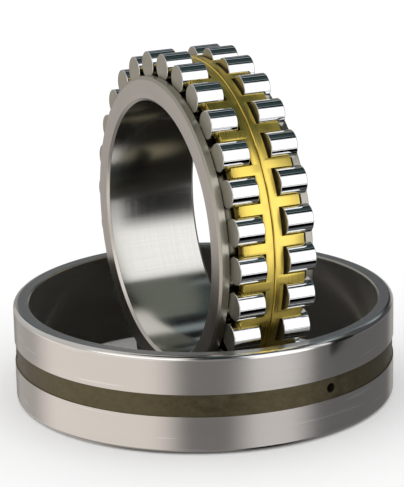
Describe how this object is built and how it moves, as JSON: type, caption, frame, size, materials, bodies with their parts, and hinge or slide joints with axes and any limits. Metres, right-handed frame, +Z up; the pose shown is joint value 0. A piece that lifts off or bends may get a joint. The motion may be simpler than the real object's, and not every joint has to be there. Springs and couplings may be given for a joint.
{
  "type": "cylindrical roller bearing",
  "caption": "Separable double-row cylindrical roller bearing: grooved outer ring lying flat, with the ribbed inner ring, brass comb cages and rollers standing inside it.",
  "frame": {"origin": "centre of the outer ring's bottom face, which lies on the floor", "axes": "+Z up, along the outer ring's own axis; +X along the axis of the standing inner ring, from its front side face to its rear side face"},
  "size_m": [0.18, 0.18, 0.1651],
  "materials": {
    "outer_ring_steel": "fine ground, satin, with a matt brown groove round the outside",
    "inner_ring_steel": "polished bore, fine ground side faces and raceways",
    "roller_steel": "superfinished barrel, matt ground end faces",
    "cage_brass": "machined, satin"
  },
  "bodies": {
    "outer_ring": {"outer_ring": "outer_ring_steel"},
    "inner_ring": {"inner_ring": "inner_ring_steel"},
    "front_cage": {"front_cage": "cage_brass"},
    "rear_cage": {"rear_cage": "cage_brass"},
    "front_roller_01": {"front_roller_01": "roller_steel"},
    "front_roller_02": {"front_roller_02": "roller_steel"},
    "front_roller_03": {"front_roller_03": "roller_steel"},
    "front_roller_04": {"front_roller_04": "roller_steel"},
    "front_roller_05": {"front_roller_05": "roller_steel"},
    "front_roller_06": {"front_roller_06": "roller_steel"},
    "front_roller_07": {"front_roller_07": "roller_steel"},
    "front_roller_08": {"front_roller_08": "roller_steel"},
    "front_roller_09": {"front_roller_09": "roller_steel"},
    "front_roller_10": {"front_roller_10": "roller_steel"},
    "front_roller_11": {"front_roller_11": "roller_steel"},
    "front_roller_12": {"front_roller_12": "roller_steel"},
    "front_roller_13": {"front_roller_13": "roller_steel"},
    "front_roller_14": {"front_roller_14": "roller_steel"},
    "front_roller_15": {"front_roller_15": "roller_steel"},
    "front_roller_16": {"front_roller_16": "roller_steel"},
    "front_roller_17": {"front_roller_17": "roller_steel"},
    "front_roller_18": {"front_roller_18": "roller_steel"},
    "front_roller_19": {"front_roller_19": "roller_steel"},
    "front_roller_20": {"front_roller_20": "roller_steel"},
    "front_roller_21": {"front_roller_21": "roller_steel"},
    "front_roller_22": {"front_roller_22": "roller_steel"},
    "front_roller_23": {"front_roller_23": "roller_steel"},
    "front_roller_24": {"front_roller_24": "roller_steel"},
    "front_roller_25": {"front_roller_25": "roller_steel"},
    "front_roller_26": {"front_roller_26": "roller_steel"},
    "front_roller_27": {"front_roller_27": "roller_steel"},
    "front_roller_28": {"front_roller_28": "roller_steel"},
    "rear_roller_01": {"rear_roller_01": "roller_steel"},
    "rear_roller_02": {"rear_roller_02": "roller_steel"},
    "rear_roller_03": {"rear_roller_03": "roller_steel"},
    "rear_roller_04": {"rear_roller_04": "roller_steel"},
    "rear_roller_05": {"rear_roller_05": "roller_steel"},
    "rear_roller_06": {"rear_roller_06": "roller_steel"},
    "rear_roller_07": {"rear_roller_07": "roller_steel"},
    "rear_roller_08": {"rear_roller_08": "roller_steel"},
    "rear_roller_09": {"rear_roller_09": "roller_steel"},
    "rear_roller_10": {"rear_roller_10": "roller_steel"},
    "rear_roller_11": {"rear_roller_11": "roller_steel"},
    "rear_roller_12": {"rear_roller_12": "roller_steel"},
    "rear_roller_13": {"rear_roller_13": "roller_steel"},
    "rear_roller_14": {"rear_roller_14": "roller_steel"},
    "rear_roller_15": {"rear_roller_15": "roller_steel"},
    "rear_roller_16": {"rear_roller_16": "roller_steel"},
    "rear_roller_17": {"rear_roller_17": "roller_steel"},
    "rear_roller_18": {"rear_roller_18": "roller_steel"},
    "rear_roller_19": {"rear_roller_19": "roller_steel"},
    "rear_roller_20": {"rear_roller_20": "roller_steel"},
    "rear_roller_21": {"rear_roller_21": "roller_steel"},
    "rear_roller_22": {"rear_roller_22": "roller_steel"},
    "rear_roller_23": {"rear_roller_23": "roller_steel"},
    "rear_roller_24": {"rear_roller_24": "roller_steel"},
    "rear_roller_25": {"rear_roller_25": "roller_steel"},
    "rear_roller_26": {"rear_roller_26": "roller_steel"},
    "rear_roller_27": {"rear_roller_27": "roller_steel"},
    "rear_roller_28": {"rear_roller_28": "roller_steel"}
  },
  "joints": [
    {"name": "inner_assembly_lift", "type": "slide", "parent": "outer_ring", "child": "inner_ring", "axis": [0, 0, 1], "range_m": [0, 0.06]},
    {"name": "front_cage_spin", "type": "hinge", "parent": "inner_ring", "child": "front_cage", "pos_m": [-0.0017, -0.0038, 0.08268], "axis": [1, 0, 0], "continuous": true},
    {"name": "front_roller_01_spin", "type": "hinge", "parent": "front_cage", "child": "front_roller_01", "pos_m": [-0.0137, 0.01265, 0.15688], "axis": [1, 0, 0], "continuous": true},
    {"name": "front_roller_02_spin", "type": "hinge", "parent": "front_cage", "child": "front_roller_02", "pos_m": [-0.0137, -0.00427, 0.15868], "axis": [1, 0, 0], "continuous": true},
    {"name": "front_roller_03_spin", "type": "hinge", "parent": "front_cage", "child": "front_roller_03", "pos_m": [-0.0137, -0.02117, 0.15667], "axis": [1, 0, 0], "continuous": true},
    {"name": "front_roller_04_spin", "type": "hinge", "parent": "front_cage", "child": "front_roller_04", "pos_m": [-0.0137, -0.0372, 0.15095], "axis": [1, 0, 0], "continuous": true},
    {"name": "front_roller_05_spin", "type": "hinge", "parent": "front_cage", "child": "front_roller_05", "pos_m": [-0.0137, -0.05155, 0.1418], "axis": [1, 0, 0], "continuous": true},
    {"name": "front_roller_06_spin", "type": "hinge", "parent": "front_cage", "child": "front_roller_06", "pos_m": [-0.0137, -0.06351, 0.12969], "axis": [1, 0, 0], "continuous": true},
    {"name": "front_roller_07_spin", "type": "hinge", "parent": "front_cage", "child": "front_roller_07", "pos_m": [-0.0137, -0.07248, 0.11523], "axis": [1, 0, 0], "continuous": true},
    {"name": "front_roller_08_spin", "type": "hinge", "parent": "front_cage", "child": "front_roller_08", "pos_m": [-0.0137, -0.078, 0.09913], "axis": [1, 0, 0], "continuous": true},
    {"name": "front_roller_09_spin", "type": "hinge", "parent": "front_cage", "child": "front_roller_09", "pos_m": [-0.0137, -0.0798, 0.08221], "axis": [1, 0, 0], "continuous": true},
    {"name": "front_roller_10_spin", "type": "hinge", "parent": "front_cage", "child": "front_roller_10", "pos_m": [-0.0137, -0.07779, 0.06531], "axis": [1, 0, 0], "continuous": true},
    {"name": "front_roller_11_spin", "type": "hinge", "parent": "front_cage", "child": "front_roller_11", "pos_m": [-0.0137, -0.07207, 0.04928], "axis": [1, 0, 0], "continuous": true},
    {"name": "front_roller_12_spin", "type": "hinge", "parent": "front_cage", "child": "front_roller_12", "pos_m": [-0.0137, -0.06292, 0.03492], "axis": [1, 0, 0], "continuous": true},
    {"name": "front_roller_13_spin", "type": "hinge", "parent": "front_cage", "child": "front_roller_13", "pos_m": [-0.0137, -0.05081, 0.02297], "axis": [1, 0, 0], "continuous": true},
    {"name": "front_roller_14_spin", "type": "hinge", "parent": "front_cage", "child": "front_roller_14", "pos_m": [-0.0137, -0.03635, 0.014], "axis": [1, 0, 0], "continuous": true},
    {"name": "front_roller_15_spin", "type": "hinge", "parent": "front_cage", "child": "front_roller_15", "pos_m": [-0.0137, -0.02025, 0.00848], "axis": [1, 0, 0], "continuous": true},
    {"name": "front_roller_16_spin", "type": "hinge", "parent": "front_cage", "child": "front_roller_16", "pos_m": [-0.0137, -0.00333, 0.00668], "axis": [1, 0, 0], "continuous": true},
    {"name": "front_roller_17_spin", "type": "hinge", "parent": "front_cage", "child": "front_roller_17", "pos_m": [-0.0137, 0.01357, 0.00869], "axis": [1, 0, 0], "continuous": true},
    {"name": "front_roller_18_spin", "type": "hinge", "parent": "front_cage", "child": "front_roller_18", "pos_m": [-0.0137, 0.0296, 0.01441], "axis": [1, 0, 0], "continuous": true},
    {"name": "front_roller_19_spin", "type": "hinge", "parent": "front_cage", "child": "front_roller_19", "pos_m": [-0.0137, 0.04396, 0.02356], "axis": [1, 0, 0], "continuous": true},
    {"name": "front_roller_20_spin", "type": "hinge", "parent": "front_cage", "child": "front_roller_20", "pos_m": [-0.0137, 0.05591, 0.03567], "axis": [1, 0, 0], "continuous": true},
    {"name": "front_roller_21_spin", "type": "hinge", "parent": "front_cage", "child": "front_roller_21", "pos_m": [-0.0137, 0.06488, 0.05013], "axis": [1, 0, 0], "continuous": true},
    {"name": "front_roller_22_spin", "type": "hinge", "parent": "front_cage", "child": "front_roller_22", "pos_m": [-0.0137, 0.0704, 0.06623], "axis": [1, 0, 0], "continuous": true},
    {"name": "front_roller_23_spin", "type": "hinge", "parent": "front_cage", "child": "front_roller_23", "pos_m": [-0.0137, 0.0722, 0.08315], "axis": [1, 0, 0], "continuous": true},
    {"name": "front_roller_24_spin", "type": "hinge", "parent": "front_cage", "child": "front_roller_24", "pos_m": [-0.0137, 0.07019, 0.10005], "axis": [1, 0, 0], "continuous": true},
    {"name": "front_roller_25_spin", "type": "hinge", "parent": "front_cage", "child": "front_roller_25", "pos_m": [-0.0137, 0.06447, 0.11608], "axis": [1, 0, 0], "continuous": true},
    {"name": "front_roller_26_spin", "type": "hinge", "parent": "front_cage", "child": "front_roller_26", "pos_m": [-0.0137, 0.05532, 0.13043], "axis": [1, 0, 0], "continuous": true},
    {"name": "front_roller_27_spin", "type": "hinge", "parent": "front_cage", "child": "front_roller_27", "pos_m": [-0.0137, 0.04321, 0.14239], "axis": [1, 0, 0], "continuous": true},
    {"name": "front_roller_28_spin", "type": "hinge", "parent": "front_cage", "child": "front_roller_28", "pos_m": [-0.0137, 0.02875, 0.15136], "axis": [1, 0, 0], "continuous": true},
    {"name": "rear_cage_spin", "type": "hinge", "parent": "inner_ring", "child": "rear_cage", "pos_m": [-0.0017, -0.0038, 0.08268], "axis": [1, 0, 0], "continuous": true},
    {"name": "rear_roller_01_spin", "type": "hinge", "parent": "rear_cage", "child": "rear_roller_01", "pos_m": [0.0103, 0.01472, 0.15639], "axis": [1, 0, 0], "continuous": true},
    {"name": "rear_roller_02_spin", "type": "hinge", "parent": "rear_cage", "child": "rear_roller_02", "pos_m": [0.0103, -0.00215, 0.15866], "axis": [1, 0, 0], "continuous": true},
    {"name": "rear_roller_03_spin", "type": "hinge", "parent": "rear_cage", "child": "rear_roller_03", "pos_m": [0.0103, -0.0191, 0.15712], "axis": [1, 0, 0], "continuous": true},
    {"name": "rear_roller_04_spin", "type": "hinge", "parent": "rear_cage", "child": "rear_roller_04", "pos_m": [0.0103, -0.03528, 0.15185], "axis": [1, 0, 0], "continuous": true},
    {"name": "rear_roller_05_spin", "type": "hinge", "parent": "rear_cage", "child": "rear_roller_05", "pos_m": [0.0103, -0.04988, 0.14311], "axis": [1, 0, 0], "continuous": true},
    {"name": "rear_roller_06_spin", "type": "hinge", "parent": "rear_cage", "child": "rear_roller_06", "pos_m": [0.0103, -0.06218, 0.13134], "axis": [1, 0, 0], "continuous": true},
    {"name": "rear_roller_07_spin", "type": "hinge", "parent": "rear_cage", "child": "rear_roller_07", "pos_m": [0.0103, -0.07154, 0.11713], "axis": [1, 0, 0], "continuous": true},
    {"name": "rear_roller_08_spin", "type": "hinge", "parent": "rear_cage", "child": "rear_roller_08", "pos_m": [0.0103, -0.07751, 0.10119], "axis": [1, 0, 0], "continuous": true},
    {"name": "rear_roller_09_spin", "type": "hinge", "parent": "rear_cage", "child": "rear_roller_09", "pos_m": [0.0103, -0.07978, 0.08433], "axis": [1, 0, 0], "continuous": true},
    {"name": "rear_roller_10_spin", "type": "hinge", "parent": "rear_cage", "child": "rear_roller_10", "pos_m": [0.0103, -0.07824, 0.06738], "axis": [1, 0, 0], "continuous": true},
    {"name": "rear_roller_11_spin", "type": "hinge", "parent": "rear_cage", "child": "rear_roller_11", "pos_m": [0.0103, -0.07297, 0.0512], "axis": [1, 0, 0], "continuous": true},
    {"name": "rear_roller_12_spin", "type": "hinge", "parent": "rear_cage", "child": "rear_roller_12", "pos_m": [0.0103, -0.06423, 0.0366], "axis": [1, 0, 0], "continuous": true},
    {"name": "rear_roller_13_spin", "type": "hinge", "parent": "rear_cage", "child": "rear_roller_13", "pos_m": [0.0103, -0.05246, 0.0243], "axis": [1, 0, 0], "continuous": true},
    {"name": "rear_roller_14_spin", "type": "hinge", "parent": "rear_cage", "child": "rear_roller_14", "pos_m": [0.0103, -0.03825, 0.01494], "axis": [1, 0, 0], "continuous": true},
    {"name": "rear_roller_15_spin", "type": "hinge", "parent": "rear_cage", "child": "rear_roller_15", "pos_m": [0.0103, -0.02232, 0.00897], "axis": [1, 0, 0], "continuous": true},
    {"name": "rear_roller_16_spin", "type": "hinge", "parent": "rear_cage", "child": "rear_roller_16", "pos_m": [0.0103, -0.00545, 0.0067], "axis": [1, 0, 0], "continuous": true},
    {"name": "rear_roller_17_spin", "type": "hinge", "parent": "rear_cage", "child": "rear_roller_17", "pos_m": [0.0103, 0.0115, 0.00824], "axis": [1, 0, 0], "continuous": true},
    {"name": "rear_roller_18_spin", "type": "hinge", "parent": "rear_cage", "child": "rear_roller_18", "pos_m": [0.0103, 0.02768, 0.01351], "axis": [1, 0, 0], "continuous": true},
    {"name": "rear_roller_19_spin", "type": "hinge", "parent": "rear_cage", "child": "rear_roller_19", "pos_m": [0.0103, 0.04229, 0.02225], "axis": [1, 0, 0], "continuous": true},
    {"name": "rear_roller_20_spin", "type": "hinge", "parent": "rear_cage", "child": "rear_roller_20", "pos_m": [0.0103, 0.05458, 0.03402], "axis": [1, 0, 0], "continuous": true},
    {"name": "rear_roller_21_spin", "type": "hinge", "parent": "rear_cage", "child": "rear_roller_21", "pos_m": [0.0103, 0.06394, 0.04823], "axis": [1, 0, 0], "continuous": true},
    {"name": "rear_roller_22_spin", "type": "hinge", "parent": "rear_cage", "child": "rear_roller_22", "pos_m": [0.0103, 0.06991, 0.06416], "axis": [1, 0, 0], "continuous": true},
    {"name": "rear_roller_23_spin", "type": "hinge", "parent": "rear_cage", "child": "rear_roller_23", "pos_m": [0.0103, 0.07218, 0.08103], "axis": [1, 0, 0], "continuous": true},
    {"name": "rear_roller_24_spin", "type": "hinge", "parent": "rear_cage", "child": "rear_roller_24", "pos_m": [0.0103, 0.07064, 0.09798], "axis": [1, 0, 0], "continuous": true},
    {"name": "rear_roller_25_spin", "type": "hinge", "parent": "rear_cage", "child": "rear_roller_25", "pos_m": [0.0103, 0.06537, 0.11416], "axis": [1, 0, 0], "continuous": true},
    {"name": "rear_roller_26_spin", "type": "hinge", "parent": "rear_cage", "child": "rear_roller_26", "pos_m": [0.0103, 0.05663, 0.12876], "axis": [1, 0, 0], "continuous": true},
    {"name": "rear_roller_27_spin", "type": "hinge", "parent": "rear_cage", "child": "rear_roller_27", "pos_m": [0.0103, 0.04486, 0.14106], "axis": [1, 0, 0], "continuous": true},
    {"name": "rear_roller_28_spin", "type": "hinge", "parent": "rear_cage", "child": "rear_roller_28", "pos_m": [0.0103, 0.03065, 0.15042], "axis": [1, 0, 0], "continuous": true}
  ],
  "couplings": [
    {"joint": "front_roller_01_spin", "follows": "front_cage_spin", "ratio": 10.692},
    {"joint": "front_roller_02_spin", "follows": "front_cage_spin", "ratio": 10.692},
    {"joint": "front_roller_03_spin", "follows": "front_cage_spin", "ratio": 10.692},
    {"joint": "front_roller_04_spin", "follows": "front_cage_spin", "ratio": 10.692},
    {"joint": "front_roller_05_spin", "follows": "front_cage_spin", "ratio": 10.692},
    {"joint": "front_roller_06_spin", "follows": "front_cage_spin", "ratio": 10.692},
    {"joint": "front_roller_07_spin", "follows": "front_cage_spin", "ratio": 10.692},
    {"joint": "front_roller_08_spin", "follows": "front_cage_spin", "ratio": 10.692},
    {"joint": "front_roller_09_spin", "follows": "front_cage_spin", "ratio": 10.692},
    {"joint": "front_roller_10_spin", "follows": "front_cage_spin", "ratio": 10.692},
    {"joint": "front_roller_11_spin", "follows": "front_cage_spin", "ratio": 10.692},
    {"joint": "front_roller_12_spin", "follows": "front_cage_spin", "ratio": 10.692},
    {"joint": "front_roller_13_spin", "follows": "front_cage_spin", "ratio": 10.692},
    {"joint": "front_roller_14_spin", "follows": "front_cage_spin", "ratio": 10.692},
    {"joint": "front_roller_15_spin", "follows": "front_cage_spin", "ratio": 10.692},
    {"joint": "front_roller_16_spin", "follows": "front_cage_spin", "ratio": 10.692},
    {"joint": "front_roller_17_spin", "follows": "front_cage_spin", "ratio": 10.692},
    {"joint": "front_roller_18_spin", "follows": "front_cage_spin", "ratio": 10.692},
    {"joint": "front_roller_19_spin", "follows": "front_cage_spin", "ratio": 10.692},
    {"joint": "front_roller_20_spin", "follows": "front_cage_spin", "ratio": 10.692},
    {"joint": "front_roller_21_spin", "follows": "front_cage_spin", "ratio": 10.692},
    {"joint": "front_roller_22_spin", "follows": "front_cage_spin", "ratio": 10.692},
    {"joint": "front_roller_23_spin", "follows": "front_cage_spin", "ratio": 10.692},
    {"joint": "front_roller_24_spin", "follows": "front_cage_spin", "ratio": 10.692},
    {"joint": "front_roller_25_spin", "follows": "front_cage_spin", "ratio": 10.692},
    {"joint": "front_roller_26_spin", "follows": "front_cage_spin", "ratio": 10.692},
    {"joint": "front_roller_27_spin", "follows": "front_cage_spin", "ratio": 10.692},
    {"joint": "front_roller_28_spin", "follows": "front_cage_spin", "ratio": 10.692},
    {"joint": "rear_roller_01_spin", "follows": "rear_cage_spin", "ratio": 10.692},
    {"joint": "rear_roller_02_spin", "follows": "rear_cage_spin", "ratio": 10.692},
    {"joint": "rear_roller_03_spin", "follows": "rear_cage_spin", "ratio": 10.692},
    {"joint": "rear_roller_04_spin", "follows": "rear_cage_spin", "ratio": 10.692},
    {"joint": "rear_roller_05_spin", "follows": "rear_cage_spin", "ratio": 10.692},
    {"joint": "rear_roller_06_spin", "follows": "rear_cage_spin", "ratio": 10.692},
    {"joint": "rear_roller_07_spin", "follows": "rear_cage_spin", "ratio": 10.692},
    {"joint": "rear_roller_08_spin", "follows": "rear_cage_spin", "ratio": 10.692},
    {"joint": "rear_roller_09_spin", "follows": "rear_cage_spin", "ratio": 10.692},
    {"joint": "rear_roller_10_spin", "follows": "rear_cage_spin", "ratio": 10.692},
    {"joint": "rear_roller_11_spin", "follows": "rear_cage_spin", "ratio": 10.692},
    {"joint": "rear_roller_12_spin", "follows": "rear_cage_spin", "ratio": 10.692},
    {"joint": "rear_roller_13_spin", "follows": "rear_cage_spin", "ratio": 10.692},
    {"joint": "rear_roller_14_spin", "follows": "rear_cage_spin", "ratio": 10.692},
    {"joint": "rear_roller_15_spin", "follows": "rear_cage_spin", "ratio": 10.692},
    {"joint": "rear_roller_16_spin", "follows": "rear_cage_spin", "ratio": 10.692},
    {"joint": "rear_roller_17_spin", "follows": "rear_cage_spin", "ratio": 10.692},
    {"joint": "rear_roller_18_spin", "follows": "rear_cage_spin", "ratio": 10.692},
    {"joint": "rear_roller_19_spin", "follows": "rear_cage_spin", "ratio": 10.692},
    {"joint": "rear_roller_20_spin", "follows": "rear_cage_spin", "ratio": 10.692},
    {"joint": "rear_roller_21_spin", "follows": "rear_cage_spin", "ratio": 10.692},
    {"joint": "rear_roller_22_spin", "follows": "rear_cage_spin", "ratio": 10.692},
    {"joint": "rear_roller_23_spin", "follows": "rear_cage_spin", "ratio": 10.692},
    {"joint": "rear_roller_24_spin", "follows": "rear_cage_spin", "ratio": 10.692},
    {"joint": "rear_roller_25_spin", "follows": "rear_cage_spin", "ratio": 10.692},
    {"joint": "rear_roller_26_spin", "follows": "rear_cage_spin", "ratio": 10.692},
    {"joint": "rear_roller_27_spin", "follows": "rear_cage_spin", "ratio": 10.692},
    {"joint": "rear_roller_28_spin", "follows": "rear_cage_spin", "ratio": 10.692}
  ]
}
